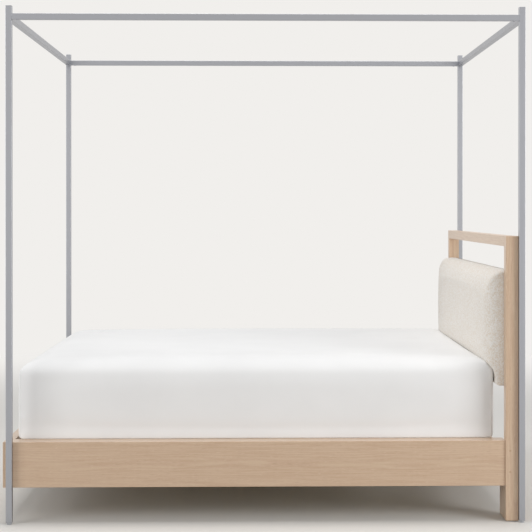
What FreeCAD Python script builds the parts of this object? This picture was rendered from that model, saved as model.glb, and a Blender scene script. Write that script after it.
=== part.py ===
import FreeCAD, Part
import math
import os
from FreeCAD import Vector

# Four poster canopy bed, in millimetres.
# +X runs from the foot to the head, +Y to the sleeper's left, +Z up.
# The origin lies on the floor under the middle of the bed's outline.

# Mattress
mattress_length = 2032.0
mattress_width = 1524.0
mattress_thickness = 345.0
mattress_top_radius = 60.0
mattress_corner_radius = 25.0
mattress_side_gap = 6.0
mattress_foot_gap = 5.5
mattress_head_gap = 30.0
mattress_sink = 5.0            # underside, below the top of the side rails
soft_clearance = 0.3
lift_angle = 40.0              # the mattress comes out leaning this far towards the foot

# Metal canopy frame
tube_size = 25.4
tube_wall = 1.6
tube_corner = 1.5
overall_height = 2159.0
post_rise = 33.0               # post above the top of the canopy rails
post_inset = 17.0              # foot post, in from the foot end of the bed
cap_thickness = 2.5
cap_plug_depth = 12.0
plug_clearance = 0.15
spigot_length = 45.0
glide_height = 8.0
glide_top_diameter = 23.0
glide_base_diameter = 19.0

# Oak side rails, each a long box of boards
rail_height = 190.0
floor_clearance = 150.0
face_thickness = 22.0
core_width = 38.0
inner_thickness = 18.0
cap_board_thickness = 22.0
block_length = 90.0

# Footboard
footboard_lip = 18.0           # runs over the ends of the side rails
footboard_inner = 20.0         # fits between the side rails

# Headboard
headboard_height = 1200.0
head_post_depth = 53.0
head_post_width = 46.0
head_post_setback = 18.0       # outer face, in from the canopy post's outer face
top_rail_height = 44.0
lower_rail_thickness = 38.0
lower_rail_drop = 75.0         # its top, below the top of the side rails
leg_block_width = 94.0
leg_glide_thickness = 4.0
leg_glide_diameter = 28.0
leg_glide_inset = 28.0         # inner glide, in from the end of the leg block

# Upholstered panel of the headboard
panel_bottom = 560.0
panel_top_gap = 101.0          # open space between the panel and the top rail
panel_projection = 70.0        # pad, proud of the headboard posts
panel_board_thickness = 18.0
panel_cleat_width = 22.0
panel_cleat_thickness = 18.0
panel_cleat_inset = 40.0       # cleat ends, in from the panel's top and bottom
panel_screw_inset = 41.5       # outer screws into the panel, in from the cleat's ends
panel_post_screw_inset = 83.0  # screws into the headboard post, in from the cleat's ends
pad_edge_radius = 55.0
pad_end_gap = 1.0
pad_press_gap = 1.0            # between the pressed-in part of the pad and the mattress

# Mattress support
slat_count = 13
slat_width = 90.0
slat_thickness = 18.0
slat_end_gap = 1.5
slat_row_inset = 12.0          # first and last slat, in from the mattress ends
cleat_height = 40.0
cleat_width = 20.0
cleat_end_gap = 5.0
beam_width = 38.0
beam_height = 70.0
centre_leg_spacing = 680.0
centre_leg_size = 40.0
leveller_disc_height = 10.0
leveller_disc_diameter = 32.0
leveller_gap = 0.2
leveller_stem_length = 45.0

# Steel brackets
bracket_thickness = 3.0
bracket_leg = 60.0
bracket_bottom_gap = 15.0      # bracket, above the underside of the side rails
bracket_top_gap = 17.0         # bracket, below the slat cleats
bracket_screw_edge = 22.5      # screw, in from the bracket's top and bottom
bracket_screw_reach = 36.0     # screw, out from the corner
hanger_thickness = 2.5
hanger_shelf = 30.0
hanger_flange = 22.0
hanger_height = 60.0
hanger_screw_edge = 17.5       # screw, in from the hanger's top and bottom
hanger_top_gap = 5.0           # hanger, below the top of the headboard's lower rail
tab_height = 60.0
tab_screw_gap = 30.0           # between the two screws of a tab
upper_tab_drop = 100.0         # centre of the upper tab, below the top of the headboard
nut_plate_thickness = 6.0
nut_plate_height = 125.0

# Fasteners
bolt_diameter = 8.0
bolt_head_diameter = 13.0
bolt_head_height = 8.0
bolt_socket_diameter = 6.0
bolt_socket_depth = 4.0
bolt_recess_diameter = 16.0
bolt_recess_depth = 10.0
bolt_gap = 90.0
bolt_dowel_gap = 22.0          # bolt of the lower rail, from the dowel beside it
bolt_clearance = 0.25
bolt_tip = 2.0                 # end of a bolt past its nut
insert_diameter = 12.0
insert_length = 20.0
thread_clearance = 0.05
screw_diameter = 4.5
screw_head_diameter = 9.0
screw_length = 32.0
screw_clearance = 0.1
dowel_diameter = 12.0
dowel_length = 70.0
dowel_in_post = 30.0
dowel_edge = 25.0              # dowel centre from the edge of a wide member
lower_dowel_edge = 18.0        # dowel centre from the edge of the lower rail
paired_dowel_edge = 13.25      # dowel centre from the face of the top rail
canopy_screw_diameter = 4.0
canopy_screw_head_diameter = 7.6
canopy_screw_head_height = 2.2
canopy_screw_length = 10.0
stud_diameter = 8.0
stud_length = 50.0

# Eased edges
wood_edge = 2.0
board_edge = 1.0

# Levels and depths that follow from the sizes above.
# A depth is measured inwards from the outer face of the canopy posts on either side.
rail_thickness = face_thickness + core_width + inner_thickness
footboard_thickness = footboard_lip + footboard_inner
half_width = mattress_width / 2 + mattress_side_gap + rail_thickness + tube_size
overall_length = (footboard_thickness + mattress_foot_gap + mattress_length
                  + mattress_head_gap + head_post_depth + tube_size)
foot_end = -overall_length / 2
head_end = overall_length / 2

rail_start = foot_end + footboard_lip
footboard_face = foot_end + footboard_thickness
mattress_foot = footboard_face + mattress_foot_gap
mattress_head = mattress_foot + mattress_length
head_face = mattress_head + mattress_head_gap
head_back = head_face + head_post_depth
foot_post_x = foot_end + post_inset + tube_size / 2
head_post_x = head_end - tube_size / 2
post_y = half_width - tube_size / 2

rail_bottom = floor_clearance
rail_top = floor_clearance + rail_height
rail_middle = floor_clearance + rail_height / 2
rail_inside = tube_size + rail_thickness
core_outside = tube_size + face_thickness
core_inside = core_outside + core_width
box_top = rail_top - cap_board_thickness
lower_rail_top = rail_top - lower_rail_drop
head_post_inside = head_post_setback + head_post_width
cleat_inside = rail_inside + cleat_width

slat_top = rail_top - mattress_sink
slat_bottom = slat_top - slat_thickness
mattress_bottom = slat_top + soft_clearance
mattress_top = mattress_bottom + mattress_thickness
cleat_bottom = slat_bottom - cleat_height
beam_bottom = slat_bottom - beam_height

bracket_low = rail_bottom + bracket_bottom_gap
bracket_high = cleat_bottom - bracket_top_gap

canopy_top = overall_height - post_rise
canopy_bottom = canopy_top - tube_size
canopy_middle = canopy_top - tube_size / 2
tube_bore = tube_size - 2 * tube_wall
plug_size = tube_bore - 2 * plug_clearance
panel_top = headboard_height - top_rail_height - panel_top_gap
panel_cleat_front = head_back - panel_cleat_thickness
panel_board_front = panel_cleat_front - panel_board_thickness
pad_front = head_face - panel_projection
pad_back = panel_board_front - soft_clearance

right, left = -1, 1
sides = ((right, "right"), (left, "left"))
along_x, along_y, along_z = Vector(1, 0, 0), Vector(0, 1, 0), Vector(0, 0, 1)


def save(name, *solids):
    """Writes one node, a single solid or a group of separate ones."""
    shape = solids[0] if len(solids) == 1 else Part.makeCompound(list(solids))
    shape.exportStep(f"parts/{name}.step")


def inwards(side, depth):
    """Y of a point at this depth inside the outer face of one side of the bed."""
    return side * (half_width - depth)


def box(x0, x1, y0, y1, z0, z1):
    corner = Vector(min(x0, x1), min(y0, y1), min(z0, z1))
    return Part.makeBox(abs(x1 - x0), abs(y1 - y0), abs(z1 - z0), corner)


def side_box(side, x0, x1, depth0, depth1, z0, z1):
    return box(x0, x1, inwards(side, depth0), inwards(side, depth1), z0, z1)


def rod(diameter, length, start, direction):
    return Part.makeCylinder(diameter / 2, length, start, direction)


def eased(shape, radius, chosen):
    """Rounds the edges whose middle and direction pass the test."""
    edges = [e for e in shape.Edges if chosen(e.CenterOfMass, e.tangentAt(e.FirstParameter))]
    return shape.makeFillet(radius, edges)


def eased_along(shape, axis, radius):
    return eased(shape, radius, lambda middle, way: abs(way.dot(axis)) > 0.99)


def eased_all(shape, radius):
    return shape.makeFillet(radius, shape.Edges)


def cut(shape, tools):
    return shape.cut(Part.makeCompound(list(tools))) if tools else shape


# Square tubes of the canopy

def square_tube(axis, x0, x1, y0, y1, z0, z1):
    outer = eased_along(box(x0, x1, y0, y1, z0, z1), axis, tube_corner)
    inset = Vector(1, 1, 1) * tube_wall - axis * tube_wall
    low, high = Vector(x0, y0, z0) + inset, Vector(x1, y1, z1) - inset
    return outer.cut(box(low.x, high.x, low.y, high.y, low.z, high.z))


def canopy_post(x, side):
    y = side * post_y
    half = tube_size / 2
    return square_tube(along_z, x - half, x + half, y - half, y + half,
                       glide_height, overall_height - cap_thickness)


def post_cap(x, side):
    y = side * post_y
    half, plug = tube_size / 2, plug_size / 2
    tube_end = overall_height - cap_thickness
    top = box(x - half, x + half, y - half, y + half, tube_end, overall_height)
    top = eased_along(top, along_z, tube_corner)
    top = eased(top, board_edge, lambda middle, way: middle.z > overall_height - 0.01)
    return top.fuse(box(x - plug, x + plug, y - plug, y + plug, tube_end - cap_plug_depth, tube_end))


def post_glide(x, side):
    y = side * post_y
    plug = plug_size / 2
    foot = Part.makeCone(glide_base_diameter / 2, glide_top_diameter / 2, glide_height, Vector(x, y, 0))
    return foot.fuse(box(x - plug, x + plug, y - plug, y + plug,
                         glide_height, glide_height + cap_plug_depth))


post_positions = [(x, side) for x in (foot_post_x, head_post_x) for side in (right, left)]
side_rail_ends = (foot_post_x + tube_size / 2, head_post_x - tube_size / 2)
end_rail_reach = post_y - tube_size / 2


def canopy_joints():
    """Where each canopy rail meets a post: the point on the post's face and the way the rail runs."""
    for side in (right, left):
        yield Vector(side_rail_ends[0], side * post_y, canopy_middle), along_x
        yield Vector(side_rail_ends[1], side * post_y, canopy_middle), -along_x
        yield Vector(foot_post_x, side * end_rail_reach, canopy_middle), along_y * -side
        yield Vector(head_post_x, side * end_rail_reach, canopy_middle), along_y * -side


def canopy_screw_seat(joint, run):
    point = joint + run * (spigot_length / 2)
    return Vector(point.x, point.y, canopy_bottom)


def canopy_screw_hole(joint, run):
    return rod(canopy_screw_diameter + 2 * thread_clearance, canopy_screw_length + thread_clearance,
               canopy_screw_seat(joint, run), along_z)


def canopy_screw(joint, run):
    """Low-headed screw up through the underside of a rail into its spigot."""
    seat = canopy_screw_seat(joint, run)
    head_end = seat.z - canopy_screw_head_height
    head = rod(canopy_screw_head_diameter, canopy_screw_head_height, seat, -along_z)
    head = eased(head, board_edge, lambda middle, way: middle.z < head_end + 0.01)
    return head.fuse(rod(canopy_screw_diameter, canopy_screw_length, seat, along_z))


def canopy_holes():
    return [canopy_screw_hole(joint, run) for joint, run in canopy_joints()]


def spigot(joint, run):
    half = plug_size / 2
    across = Vector(run.y, run.x, 0)
    reach = along_z * half + Vector(abs(across.x), abs(across.y), 0) * half
    low, high = joint - reach, joint + reach
    tip = run * spigot_length
    block = box(min(low.x, low.x + tip.x), max(high.x, high.x + tip.x),
                min(low.y, low.y + tip.y), max(high.y, high.y + tip.y), low.z, high.z)
    return block.cut(canopy_screw_hole(joint, run))


def canopy_side_rail(side):
    y, half = side * post_y, tube_size / 2
    tube = square_tube(along_x, side_rail_ends[0], side_rail_ends[1], y - half, y + half,
                       canopy_bottom, canopy_top)
    return cut(tube, canopy_holes())


def canopy_end_rail(x):
    half = tube_size / 2
    tube = square_tube(along_y, x - half, x + half, -end_rail_reach, end_rail_reach,
                       canopy_bottom, canopy_top)
    return cut(tube, canopy_holes())


# Screws, bolts and dowels of the wooden frame

def wood_screw(head, way, extra=0.0):
    """Countersunk screw, its head flush at this point; extra widens it into its hole."""
    diameter = screw_diameter + 2 * extra
    head_diameter = screw_head_diameter + 2 * extra
    sink = (head_diameter - diameter) / 2
    shank = rod(diameter, screw_length - screw_diameter + extra, head, way)
    tip_start = head + way * (screw_length - screw_diameter + extra)
    tip = Part.makeCone(diameter / 2, 0, screw_diameter, tip_start, way)
    cone = Part.makeCone(head_diameter / 2, diameter / 2, sink, head, way)
    return shank.fuse([tip, cone])


def screw_holes(places):
    return [wood_screw(head, way, screw_clearance) for head, way in places]


def bolt(head_seat, way, length):
    """Socket-head bolt whose head lies behind its seat."""
    shank = rod(bolt_diameter, length, head_seat, way)
    head = rod(bolt_head_diameter, bolt_head_height, head_seat, -way)
    socket = rod(bolt_socket_diameter, bolt_socket_depth, head_seat - way * bolt_head_height, way)
    return shank.fuse(head).cut(socket)


def bolt_hole(head_seat, way, length):
    """Clearance hole for a bolt, with the recess for its head."""
    shank = rod(bolt_diameter + 2 * bolt_clearance, length, head_seat, way)
    return shank.fuse(rod(bolt_recess_diameter, bolt_recess_depth, head_seat, -way))


foot_bolt_levels = (rail_middle - bolt_gap / 2, rail_middle + bolt_gap / 2)
head_bolt_levels = (rail_bottom + lower_dowel_edge + bolt_dowel_gap,
                    lower_rail_top - lower_dowel_edge - bolt_dowel_gap)
bolt_tip_depth = tube_size - tube_wall - nut_plate_thickness - bolt_tip
foot_bolt_seat = rail_inside - bolt_recess_depth
foot_bolt_length = foot_bolt_seat - bolt_tip_depth
head_bolt_seat = head_face + lower_rail_thickness - bolt_recess_depth
head_bolt_length = lower_rail_thickness - bolt_recess_depth + insert_length
head_bolt_depth = (head_post_inside + core_inside) / 2


def foot_bolt_places(side):
    """Bolts from inside a side rail, out through it into the foot post of the canopy."""
    return [(Vector(foot_post_x, inwards(side, foot_bolt_seat), level), along_y * side)
            for level in foot_bolt_levels]


def head_bolt_places(side):
    """Bolts from behind the headboard's lower rail into the end of a side rail."""
    return [(Vector(head_bolt_seat, inwards(side, head_bolt_depth), level), -along_x)
            for level in head_bolt_levels]


def threaded_insert(mouth, way):
    body = rod(insert_diameter, insert_length, mouth, way)
    return body.cut(rod(bolt_diameter + 2 * thread_clearance, insert_length, mouth, way))


def insert_places():
    """Mouths of the threaded inserts in the rail ends and in the centre legs."""
    ends = [(Vector(head_face, inwards(side, head_bolt_depth), level), -along_x)
            for side in (right, left) for level in head_bolt_levels]
    legs = [(Vector(x, 0, centre_leg_bottom), along_z) for x in centre_leg_positions]
    return ends + legs


def insert_holes():
    return [rod(insert_diameter, insert_length, mouth, way) for mouth, way in insert_places()]


def dowel_places(side):
    """Starts of the dowels, inside a headboard post, that hold its rails and leg block."""
    depth = head_post_inside - dowel_in_post
    lower_x = head_face + lower_rail_thickness / 2
    post_x = head_face + head_post_depth / 2
    spots = [(lower_x, rail_bottom + lower_dowel_edge), (lower_x, lower_rail_top - lower_dowel_edge),
             (post_x, leg_glide_thickness + dowel_edge), (post_x, rail_bottom - dowel_edge),
             (head_face + paired_dowel_edge, headboard_height - top_rail_height / 2),
             (head_back - paired_dowel_edge, headboard_height - top_rail_height / 2)]
    return [Vector(x, inwards(side, depth), level) for x, level in spots]


def dowels(extra=0.0):
    return [rod(dowel_diameter + extra, dowel_length, start, along_y * -side)
            for side in (right, left) for start in dowel_places(side)]


# Slats and what they lie on

slat_run = mattress_length - 2 * slat_row_inset - slat_width
slat_starts = [mattress_foot + slat_row_inset + slat_run * i / (slat_count - 1)
               for i in range(slat_count)]
slat_end = rail_inside + slat_end_gap
cleat_start = footboard_face + cleat_end_gap
cleat_finish = head_face - cleat_end_gap
cleat_screw_count = 7


def slat_screws(start):
    middle = start + slat_width / 2
    depth = rail_inside + cleat_width / 2
    return [(Vector(middle, inwards(side, depth), slat_top), -along_z) for side in (right, left)]


def cleat_screws(side):
    level = cleat_bottom + cleat_height / 3
    step = (cleat_finish - cleat_start) / cleat_screw_count
    return [(Vector(cleat_start + step * (i + 0.5), inwards(side, cleat_inside), level), along_y * side)
            for i in range(cleat_screw_count)]


def slat(start):
    board = side_box(right, start, start + slat_width, slat_end, 2 * half_width - slat_end,
                     slat_bottom, slat_top)
    board = eased_all(board, board_edge)
    return cut(board, screw_holes(slat_screws(start)))


def slat_cleat(side):
    strip = side_box(side, cleat_start, cleat_finish, rail_inside, cleat_inside,
                     cleat_bottom, slat_bottom)
    slat_places = [place for start in slat_starts for place in slat_screws(start)]
    near = [place for place in slat_places if place[0].y * side > 0]
    return cut(strip, screw_holes(cleat_screws(side) + near))


# Side rails

def rail_face_board(side):
    outer = inwards(side, tube_size)
    board = side_box(side, rail_start, head_face, tube_size, core_outside, rail_bottom, rail_top)
    board = eased(board, wood_edge,
                  lambda middle, way: abs(middle.y - outer) < 0.01 and abs(way.x) > 0.99)
    return cut(board, [bolt_hole(seat, way, foot_bolt_length) for seat, way in foot_bolt_places(side)])


def rail_cap_board(side):
    inner = inwards(side, rail_inside)
    board = side_box(side, rail_start, head_face, core_outside, rail_inside, box_top, rail_top)
    return eased(board, wood_edge, lambda middle, way: abs(middle.y - inner) < 0.01
                 and abs(way.x) > 0.99 and middle.z > rail_top - 0.01)


def rail_inner_board(side):
    board = side_box(side, rail_start, head_face, core_inside, rail_inside, rail_bottom, box_top)
    bolts = [bolt_hole(seat, way, foot_bolt_length) for seat, way in foot_bolt_places(side)]
    screws = screw_holes(cleat_screws(side) + bracket_screws(side))
    return cut(board, bolts + screws)


def foot_block(side):
    block = side_box(side, rail_start, rail_start + block_length, core_outside, core_inside,
                     rail_bottom, box_top)
    bolts = [bolt_hole(seat, way, foot_bolt_length) for seat, way in foot_bolt_places(side)]
    return cut(block, bolts + screw_holes(bracket_screws(side)))


def head_block(side):
    block = side_box(side, head_face - block_length, head_face, core_outside, core_inside,
                     rail_bottom, box_top)
    return cut(block, insert_holes())


# Footboard and its corner brackets

def bracket_screws(side):
    """Screws of one corner bracket: two into the footboard, two into the side rail."""
    levels = (bracket_low + bracket_screw_edge, bracket_high - bracket_screw_edge)
    into_foot = [(Vector(footboard_face + bracket_thickness, inwards(side, rail_inside + bracket_screw_reach),
                         level), -along_x) for level in levels]
    into_rail = [(Vector(footboard_face + bracket_screw_reach,
                         inwards(side, rail_inside + bracket_thickness), level), along_y * side)
                 for level in levels]
    return into_foot + into_rail


def corner_bracket(side):
    plate = side_box(side, footboard_face, footboard_face + bracket_thickness,
                     rail_inside, rail_inside + bracket_leg, bracket_low, bracket_high)
    wing = side_box(side, footboard_face, footboard_face + bracket_leg,
                    rail_inside, rail_inside + bracket_thickness, bracket_low, bracket_high)
    return cut(plate.fuse(wing).removeSplitter(), screw_holes(bracket_screws(side)))


def footboard():
    outer = side_box(right, foot_end, rail_start, tube_size, 2 * half_width - tube_size,
                     rail_bottom, rail_top)
    inner = side_box(right, rail_start, footboard_face, rail_inside, 2 * half_width - rail_inside,
                     rail_bottom, rail_top)
    board = outer.fuse(inner).removeSplitter()
    board = eased(board, wood_edge, lambda middle, way: abs(middle.x - foot_end) < 0.01)
    screws = bracket_screws(right) + bracket_screws(left) + hanger_screws(footboard_face, along_x)
    return cut(board, screw_holes(screws))


# Headboard

def head_post(side):
    post = side_box(side, head_face, head_back, head_post_setback, head_post_inside,
                    leg_glide_thickness, headboard_height)
    post = eased_all(post, wood_edge)
    return cut(post, dowels() + screw_holes(tab_screws(side) + panel_post_screws(side)))


def headboard_top_rail():
    rail = side_box(right, head_face, head_back, head_post_inside, 2 * half_width - head_post_inside,
                    headboard_height - top_rail_height, headboard_height)
    return cut(eased_along(rail, along_y, wood_edge), dowels())


def headboard_lower_rail():
    rail = side_box(right, head_face, head_face + lower_rail_thickness,
                    head_post_inside, 2 * half_width - head_post_inside, rail_bottom, lower_rail_top)
    rail = eased_along(rail, along_y, board_edge)
    bolts = [bolt_hole(seat, way, head_bolt_length)
             for side in (right, left) for seat, way in head_bolt_places(side)]
    return cut(rail, dowels() + bolts + screw_holes(hanger_screws(head_face, -along_x)))


def leg_block(side):
    block = side_box(side, head_face, head_back, head_post_inside, head_post_inside + leg_block_width,
                     leg_glide_thickness, rail_bottom)
    return cut(eased_along(block, along_y, wood_edge), dowels())


def leg_glides():
    x = head_face + head_post_depth / 2
    depths = ((head_post_setback + head_post_inside) / 2,
              head_post_inside + leg_block_width - leg_glide_inset)
    return [rod(leg_glide_diameter, leg_glide_thickness, Vector(x, inwards(side, depth), 0), along_z)
            for side in (right, left) for depth in depths]


# Tabs that tie the canopy's head posts to the headboard

tab_levels = (rail_middle, headboard_height - upper_tab_drop)


def tab_screws(side):
    depth = (tube_size + head_post_inside) / 2
    return [(Vector(head_back + bracket_thickness, inwards(side, depth), level + offset), -along_x)
            for level in tab_levels for offset in (-tab_screw_gap / 2, tab_screw_gap / 2)]


def post_tabs(side):
    plates = [side_box(side, head_back, head_back + bracket_thickness, tube_size, head_post_inside,
                       level - tab_height / 2, level + tab_height / 2) for level in tab_levels]
    return [cut(plate, screw_holes(tab_screws(side))) for plate in plates]


# Upholstered panel

pad_outside = head_post_inside + pad_end_gap
panel_cleat_low = panel_bottom + panel_cleat_inset
panel_cleat_high = panel_top - panel_cleat_inset
panel_screw_levels = (panel_cleat_low + panel_screw_inset, (panel_cleat_low + panel_cleat_high) / 2,
                      panel_cleat_high - panel_screw_inset)
panel_post_screw_levels = (panel_cleat_low + panel_post_screw_inset,
                           panel_cleat_high - panel_post_screw_inset)


def panel_board_screws(side):
    depth = head_post_inside + panel_cleat_width / 2
    return [(Vector(head_back, inwards(side, depth), level), -along_x) for level in panel_screw_levels]


def panel_post_screws(side):
    x = panel_cleat_front + panel_cleat_thickness / 2
    return [(Vector(x, inwards(side, head_post_inside + panel_cleat_width), level), along_y * side)
            for level in panel_post_screw_levels]


def panel_cleat(side):
    strip = side_box(side, panel_cleat_front, head_back, head_post_inside,
                     head_post_inside + panel_cleat_width, panel_cleat_low, panel_cleat_high)
    return cut(strip, screw_holes(panel_board_screws(side) + panel_post_screws(side)))


def panel_board():
    board = side_box(right, panel_board_front, panel_cleat_front, pad_outside,
                     2 * half_width - pad_outside, panel_bottom, panel_top)
    board = eased_all(board, board_edge)
    return cut(board, screw_holes(panel_board_screws(right) + panel_board_screws(left)))


def pressed_space():
    """The space that the mattress takes from the pad, at rest and on its way out."""
    lean = math.radians(lift_angle)
    turn = mattress_top_radius + pad_press_gap
    edge_x = mattress_head - mattress_top_radius + turn * math.cos(lean)
    edge_z = mattress_top - mattress_top_radius + turn * math.sin(lean)
    wall_x = mattress_head + pad_press_gap
    wall_z = edge_z - (wall_x - edge_x) / math.tan(lean)
    outside_x = pad_front - pad_edge_radius
    outside_z = edge_z + (edge_x - outside_x) / math.tan(lean)
    below = panel_bottom - pad_edge_radius
    corners = [(wall_x, below), (wall_x, wall_z), (outside_x, outside_z), (outside_x, below)]
    outline = [Vector(x, -half_width, z) for x, z in corners + corners[:1]]
    return Part.Face(Part.makePolygon(outline)).extrude(along_y * 2 * half_width)


def headboard_pad():
    pad = side_box(right, pad_front, pad_back, pad_outside, 2 * half_width - pad_outside,
                   panel_bottom, panel_top)
    pad = eased(pad, pad_edge_radius, lambda middle, way: middle.x < pad_front + 0.01)
    return pad.cut(pressed_space())


# Centre beam, its hangers and its legs

centre_leg_positions = (-centre_leg_spacing / 2, centre_leg_spacing / 2)
centre_leg_bottom = leveller_disc_height + leveller_gap
hanger_top = lower_rail_top - hanger_top_gap
hanger_low = hanger_top - hanger_height
hanger_shelf_low = beam_bottom - hanger_thickness
hanger_half = beam_width / 2 + hanger_thickness
beam_start = footboard_face + hanger_thickness
beam_finish = head_face - hanger_thickness


def hanger_screws(face, away):
    """Screws of a beam hanger on this face; away points from the face into the bed."""
    reach = hanger_half + hanger_flange / 2
    levels = (hanger_low + hanger_screw_edge, hanger_top - hanger_screw_edge)
    return [(Vector(face, y, level) + away * hanger_thickness, -away)
            for y in (-reach, reach) for level in levels]


def beam_hanger(face, away):
    back = face + away.x * hanger_thickness
    front = back + away.x * hanger_shelf
    reach = hanger_half + hanger_flange
    plate = box(face, back, -reach, reach, hanger_low, hanger_top)
    shelf = box(back, front, -hanger_half, hanger_half, hanger_shelf_low, beam_bottom)
    cheeks = [box(back, front, side * beam_width / 2, side * hanger_half, beam_bottom, hanger_top)
              for side in (right, left)]
    whole = plate.fuse([shelf] + cheeks).removeSplitter()
    return cut(whole, screw_holes(hanger_screws(face, away)))


def leg_stud(x):
    return rod(stud_diameter, stud_length, Vector(x, 0, beam_bottom - stud_length / 2), along_z)


def centre_beam():
    beam = box(beam_start, beam_finish, -beam_width / 2, beam_width / 2, beam_bottom, slat_bottom)
    return cut(eased_along(beam, along_x, board_edge), [leg_stud(x) for x in centre_leg_positions])


def centre_leg(x):
    half = centre_leg_size / 2
    leg = box(x - half, x + half, -half, half, centre_leg_bottom, beam_bottom)
    leg = eased_all(leg, wood_edge)
    stem_hole = rod(bolt_diameter + 2 * bolt_clearance, leveller_stem_length + bolt_tip,
                    Vector(x, 0, centre_leg_bottom), along_z)
    return cut(leg, [leg_stud(x), stem_hole] + insert_holes())


def leveller(x):
    """Screw foot of a centre leg, turned right in."""
    disc = rod(leveller_disc_diameter, leveller_disc_height, Vector(x, 0, 0), along_z)
    disc = eased(disc, board_edge, lambda middle, way: abs(way.z) < 0.5)
    return disc.fuse(rod(bolt_diameter, leveller_stem_length, Vector(x, 0, leveller_disc_height), along_z))


# Foot post nut plates

def nut_plate(side):
    deep = tube_size - tube_wall
    half = plug_size / 2
    plate = side_box(side, foot_post_x - half, foot_post_x + half, deep - nut_plate_thickness, deep,
                     rail_middle - nut_plate_height / 2, rail_middle + nut_plate_height / 2)
    tapped = [rod(bolt_diameter + 2 * thread_clearance, foot_bolt_length, seat, way)
              for seat, way in foot_bolt_places(side)]
    return cut(plate, tapped)


def foot_post(side):
    holes = [rod(bolt_diameter + 2 * bolt_clearance, foot_bolt_length, seat, way)
             for seat, way in foot_bolt_places(side)]
    return cut(canopy_post(foot_post_x, side), holes)


# Mattress

def mattress():
    block = box(mattress_foot, mattress_head, -mattress_width / 2, mattress_width / 2,
                mattress_bottom, mattress_top)
    block = eased(block, mattress_top_radius, lambda middle, way: middle.z > mattress_top - 0.01)
    centre = (mattress_foot + mattress_head) / 2
    return eased(block, mattress_corner_radius,
                 lambda middle, way: (abs(middle.x - centre) > mattress_length / 4
                                      and abs(middle.y) > mattress_width / 4))


# Canopy frame
for side, name in sides:
    save(f"canopy_post_foot_{name}", foot_post(side))
    save(f"canopy_post_head_{name}", canopy_post(head_post_x, side))
    save(f"canopy_rail_{name}", canopy_side_rail(side))
save("canopy_rail_foot", canopy_end_rail(foot_post_x))
save("canopy_rail_head", canopy_end_rail(head_post_x))
save("canopy_spigots", *[spigot(joint, run) for joint, run in canopy_joints()])
save("canopy_screws", *[canopy_screw(joint, run) for joint, run in canopy_joints()])
save("post_caps", *[post_cap(x, side) for x, side in post_positions])
save("post_glides", *[post_glide(x, side) for x, side in post_positions])

# Joints between the canopy and the bed
save("foot_post_bolts", *[bolt(seat, way, foot_bolt_length)
                          for side in (right, left) for seat, way in foot_bolt_places(side)])
save("nut_plates", *[nut_plate(side) for side in (right, left)])
save("head_post_tabs", *[tab for side in (right, left) for tab in post_tabs(side)])

# Side rails and footboard
for side, name in sides:
    save(f"rail_face_{name}", rail_face_board(side))
    save(f"rail_cap_{name}", rail_cap_board(side))
    save(f"rail_inner_{name}", rail_inner_board(side))
save("slat_cleats", *[slat_cleat(side) for side in (right, left)])
save("rail_foot_blocks", *[foot_block(side) for side in (right, left)])
save("rail_head_blocks", *[head_block(side) for side in (right, left)])
save("footboard", footboard())
save("corner_brackets", *[corner_bracket(side) for side in (right, left)])

# Headboard
for side, name in sides:
    save(f"headboard_post_{name}", head_post(side))
save("leg_blocks", *[leg_block(side) for side in (right, left)])
save("headboard_top_rail", headboard_top_rail())
save("headboard_lower_rail", headboard_lower_rail())
save("headboard_bolts", *[bolt(seat, way, head_bolt_length)
                          for side in (right, left) for seat, way in head_bolt_places(side)])
save("dowels", *dowels())
save("leg_glides", *leg_glides())
save("panel_board", panel_board())
save("panel_cleats", *[panel_cleat(side) for side in (right, left)])
save("headboard_pad", headboard_pad())

# Mattress and its support
for number, start in enumerate(slat_starts, 1):
    save(f"slat_{number:02d}", slat(start))
save("centre_beam", centre_beam())
save("beam_hangers", beam_hanger(footboard_face, along_x), beam_hanger(head_face, -along_x))
save("centre_legs", *[centre_leg(x) for x in centre_leg_positions])
save("leg_studs", *[leg_stud(x) for x in centre_leg_positions])
save("threaded_inserts", *[threaded_insert(mouth, way) for mouth, way in insert_places()])
for x, name in zip(centre_leg_positions, ("foot", "head")):
    save(f"leveller_{name}", leveller(x))
save("mattress", mattress())

# The same wood screw holds the slats, cleats, brackets, hangers, tabs and panel
places = [place for start in slat_starts for place in slat_screws(start)]
for side in (right, left):
    places += cleat_screws(side) + bracket_screws(side) + tab_screws(side)
    places += panel_board_screws(side) + panel_post_screws(side)
places += hanger_screws(footboard_face, along_x) + hanger_screws(head_face, -along_x)
save("wood_screws", *[wood_screw(head, way) for head, way in places])
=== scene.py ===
import math

import bmesh
import bpy
import numpy as np
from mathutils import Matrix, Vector


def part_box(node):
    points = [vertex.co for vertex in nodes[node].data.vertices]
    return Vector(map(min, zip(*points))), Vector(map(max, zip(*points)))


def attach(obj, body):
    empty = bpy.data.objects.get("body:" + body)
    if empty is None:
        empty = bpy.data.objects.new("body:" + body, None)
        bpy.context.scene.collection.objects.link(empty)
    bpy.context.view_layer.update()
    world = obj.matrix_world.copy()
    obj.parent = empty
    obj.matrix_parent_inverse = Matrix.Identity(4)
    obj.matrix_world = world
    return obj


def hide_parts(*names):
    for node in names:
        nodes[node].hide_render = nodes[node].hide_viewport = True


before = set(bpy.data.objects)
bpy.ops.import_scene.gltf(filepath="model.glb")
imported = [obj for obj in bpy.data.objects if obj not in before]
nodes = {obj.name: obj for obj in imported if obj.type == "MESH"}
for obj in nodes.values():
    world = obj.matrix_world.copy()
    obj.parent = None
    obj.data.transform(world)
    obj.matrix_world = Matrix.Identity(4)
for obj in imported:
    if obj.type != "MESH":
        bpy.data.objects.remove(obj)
for spare in ("Cube", "Light", "Camera"):
    if spare in bpy.data.objects:
        bpy.data.objects.remove(bpy.data.objects[spare])
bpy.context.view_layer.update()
scene = bpy.context.scene
scene.view_settings.view_transform = "Standard"
print("frame loaded:", len(nodes), "nodes")

# Four poster canopy bed. +X runs to the head, -Y to the side that the camera sees.


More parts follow.
